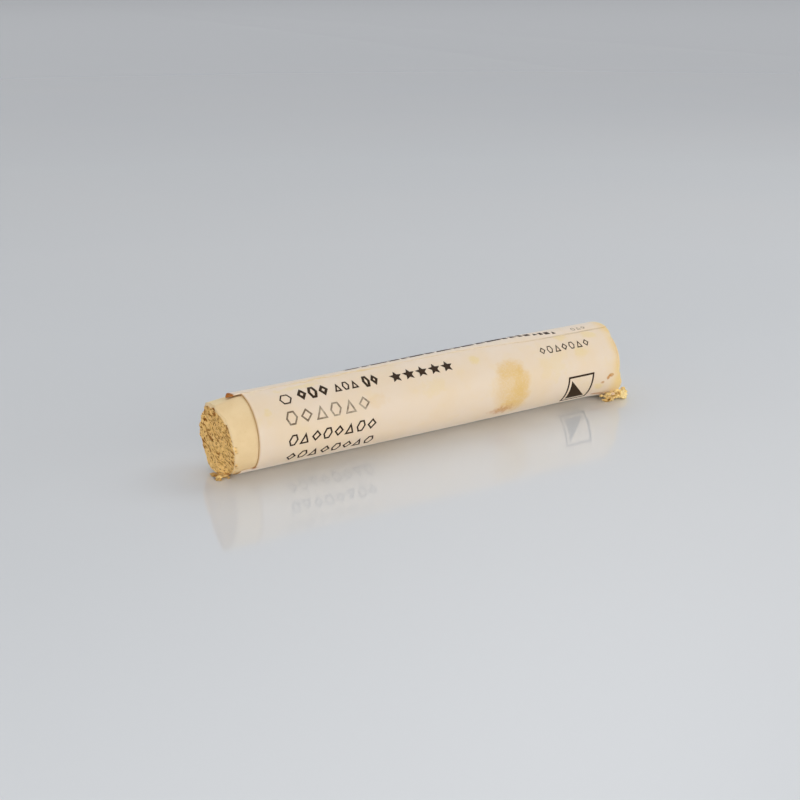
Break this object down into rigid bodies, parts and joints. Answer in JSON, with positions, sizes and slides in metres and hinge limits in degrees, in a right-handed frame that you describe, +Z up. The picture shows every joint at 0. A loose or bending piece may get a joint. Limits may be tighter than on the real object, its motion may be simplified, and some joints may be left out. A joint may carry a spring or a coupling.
{
  "type": "soft pastel stick",
  "caption": "Round soft pastel in a loose paper wrapper, snapped off at its bare end, lying on its side.",
  "frame": {"origin": "on the surface that the stick lies on, under the middle of its length", "axes": "+X along the stick from the broken end to the whole end, +Z up, -Y towards the printed front"},
  "size_m": [0.0724, 0.012, 0.012],
  "materials": {
    "pastel": "matte",
    "wrapper_paper": "satin"
  },
  "bodies": {
    "root": {"pastel_stick": "pastel", "paper_wrapper": "wrapper_paper"}
  },
  "joints": []
}
